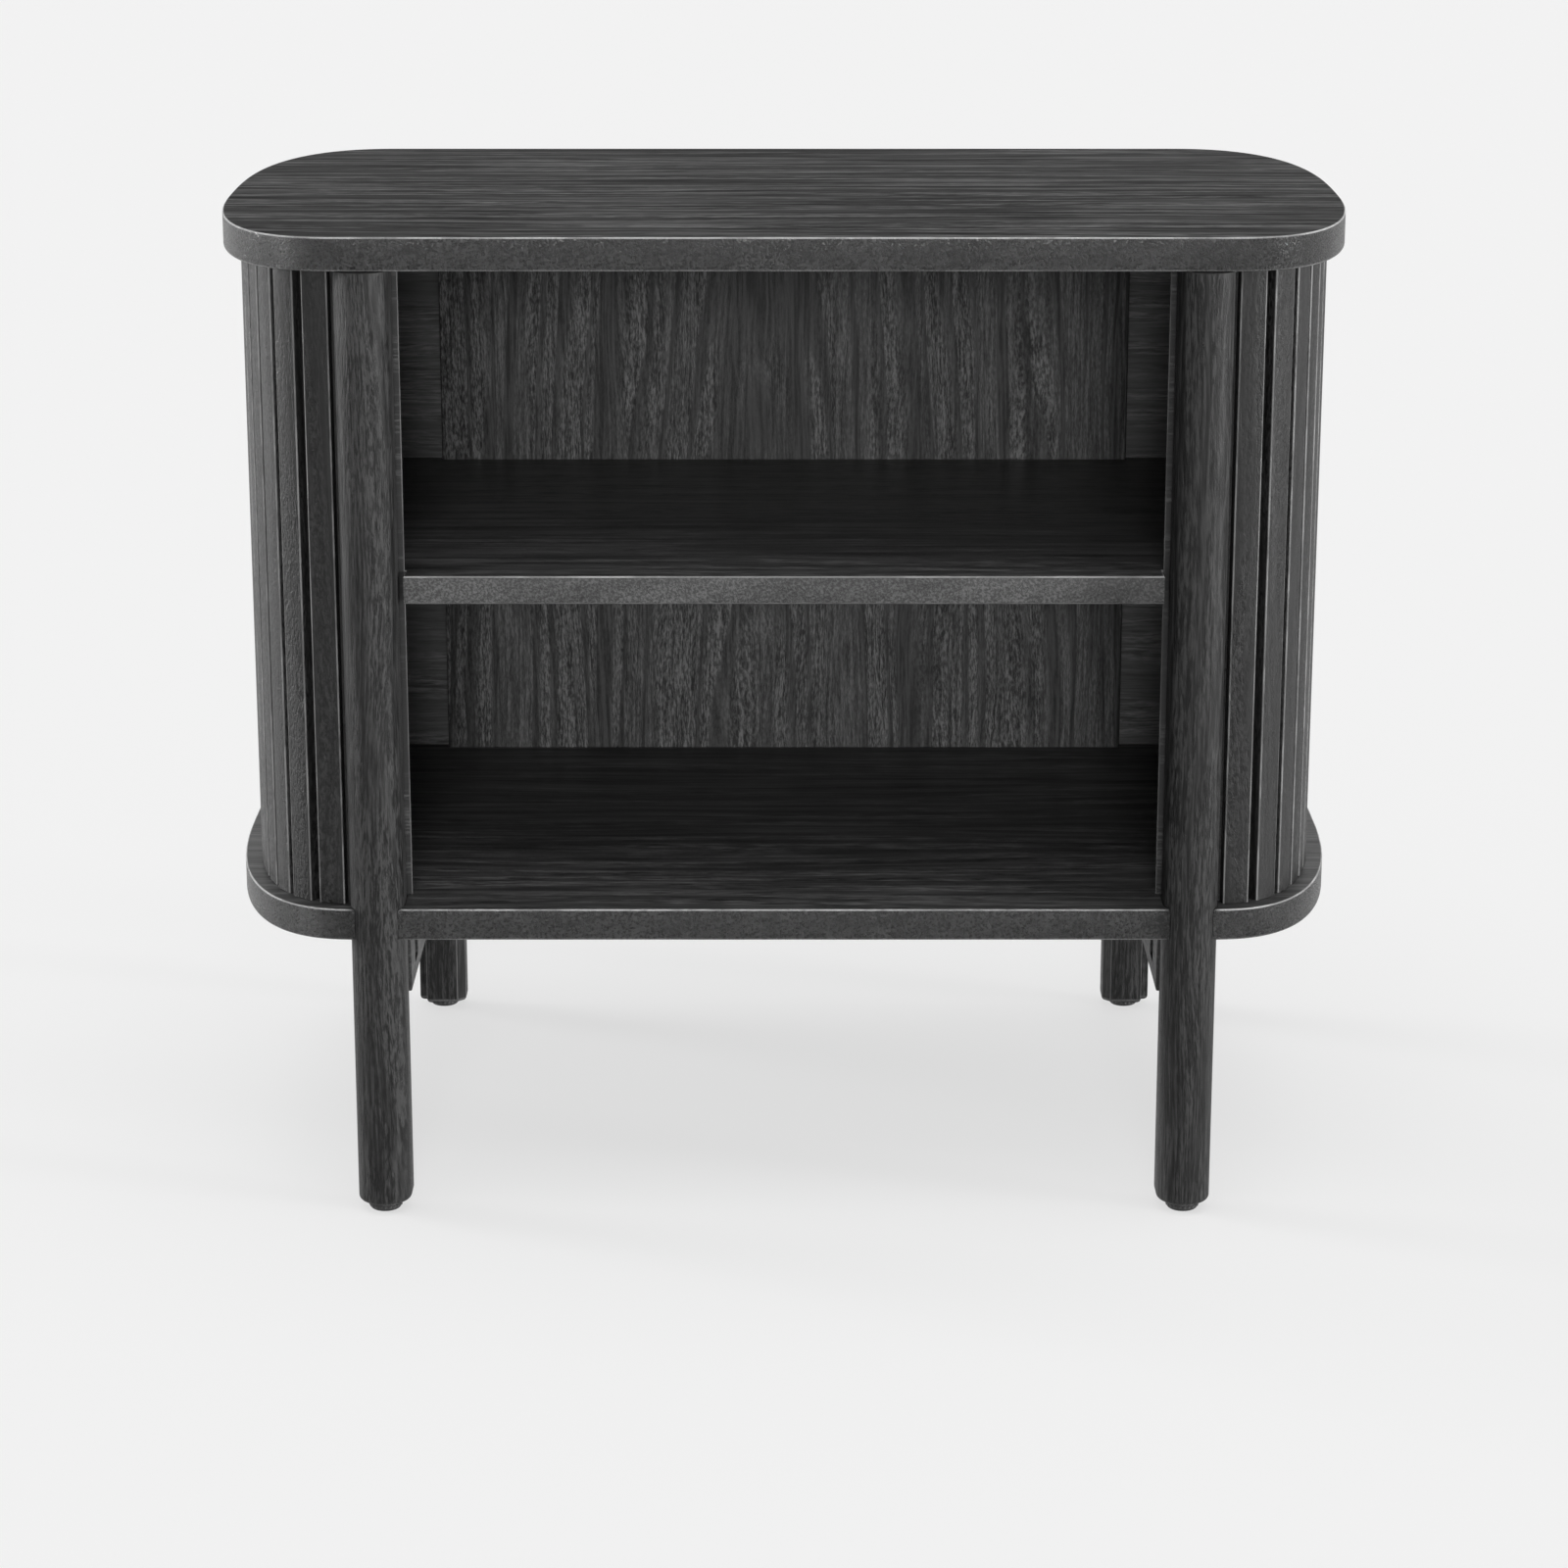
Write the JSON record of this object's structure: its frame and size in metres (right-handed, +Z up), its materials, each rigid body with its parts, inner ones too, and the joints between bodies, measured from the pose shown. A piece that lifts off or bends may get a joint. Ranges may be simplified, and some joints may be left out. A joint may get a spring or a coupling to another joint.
{
  "type": "open nightstand",
  "caption": "Open wooden nightstand with slatted round ends, a middle shelf, round legs standing proud at the corners and screw-out levelling glides.",
  "frame": {"origin": "on the floor, under the middle of the boards", "axes": "+Z up, the open front faces -Y, +X to the right seen from the front"},
  "size_m": [0.6, 0.3706, 0.526],
  "materials": {
    "board": "charcoal stain, satin lacquer",
    "leg": "charcoal stain, satin lacquer",
    "slat": "charcoal stain, satin lacquer",
    "back": "charcoal stain, satin lacquer",
    "liner": "charcoal stain, satin lacquer",
    "core": "dark stain",
    "dowel": "plain beech",
    "steel": "zinc plated",
    "foot": "moulded, matte"
  },
  "bodies": {
    "cabinet": {"top_board": "board", "bottom_board": "board", "middle_shelf": "board", "back_panel": "back", "wall_core_left": "core", "wall_core_right": "core", "wall_liner_left": "liner", "wall_liner_right": "liner", "wall_slats_left": "slat", "wall_slats_right": "slat", "side_rail_left": "leg", "side_rail_right": "leg", "leg_front_left": "leg", "leg_front_right": "leg", "leg_rear_left": "leg", "leg_rear_right": "leg", "rail_bolt_front_left": "steel", "rail_bolt_front_right": "steel", "rail_bolt_rear_left": "steel", "rail_bolt_rear_right": "steel", "rail_bolt_insert_front_left": "steel", "rail_bolt_insert_front_right": "steel", "rail_bolt_insert_rear_left": "steel", "rail_bolt_insert_rear_right": "steel", "board_screw_front_left": "steel", "board_screw_front_right": "steel", "board_screw_rear_left": "steel", "board_screw_rear_right": "steel", "leg_dowel_front_left": "dowel", "leg_dowel_front_right": "dowel", "leg_dowel_rear_left": "dowel", "leg_dowel_rear_right": "dowel", "wall_dowel_top_front_left": "dowel", "wall_dowel_top_front_right": "dowel", "wall_dowel_top_rear_left": "dowel", "wall_dowel_top_rear_right": "dowel", "wall_dowel_bottom_front_left": "dowel", "wall_dowel_bottom_front_right": "dowel", "wall_dowel_bottom_rear_left": "dowel", "wall_dowel_bottom_rear_right": "dowel", "shelf_dowel_front_left": "dowel", "shelf_dowel_front_right": "dowel", "shelf_dowel_rear_left": "dowel", "shelf_dowel_rear_right": "dowel", "glide_insert_front_left": "steel", "glide_insert_front_right": "steel", "glide_insert_rear_left": "steel", "glide_insert_rear_right": "steel"},
    "glide_front_left": {"glide_foot_front_left": "foot", "glide_stem_front_left": "steel"},
    "glide_front_right": {"glide_foot_front_right": "foot", "glide_stem_front_right": "steel"},
    "glide_rear_left": {"glide_foot_rear_left": "foot", "glide_stem_rear_left": "steel"},
    "glide_rear_right": {"glide_foot_rear_right": "foot", "glide_stem_rear_right": "steel"}
  },
  "joints": [
    {"name": "glide_front_left_travel", "type": "slide", "parent": "cabinet", "child": "glide_front_left", "axis": [0, 0, -1], "range_m": [0, 0.008]},
    {"name": "glide_front_right_travel", "type": "slide", "parent": "cabinet", "child": "glide_front_right", "axis": [0, 0, -1], "range_m": [0, 0.008]},
    {"name": "glide_rear_left_travel", "type": "slide", "parent": "cabinet", "child": "glide_rear_left", "axis": [0, 0, -1], "range_m": [0, 0.008]},
    {"name": "glide_rear_right_travel", "type": "slide", "parent": "cabinet", "child": "glide_rear_right", "axis": [0, 0, -1], "range_m": [0, 0.008]}
  ]
}
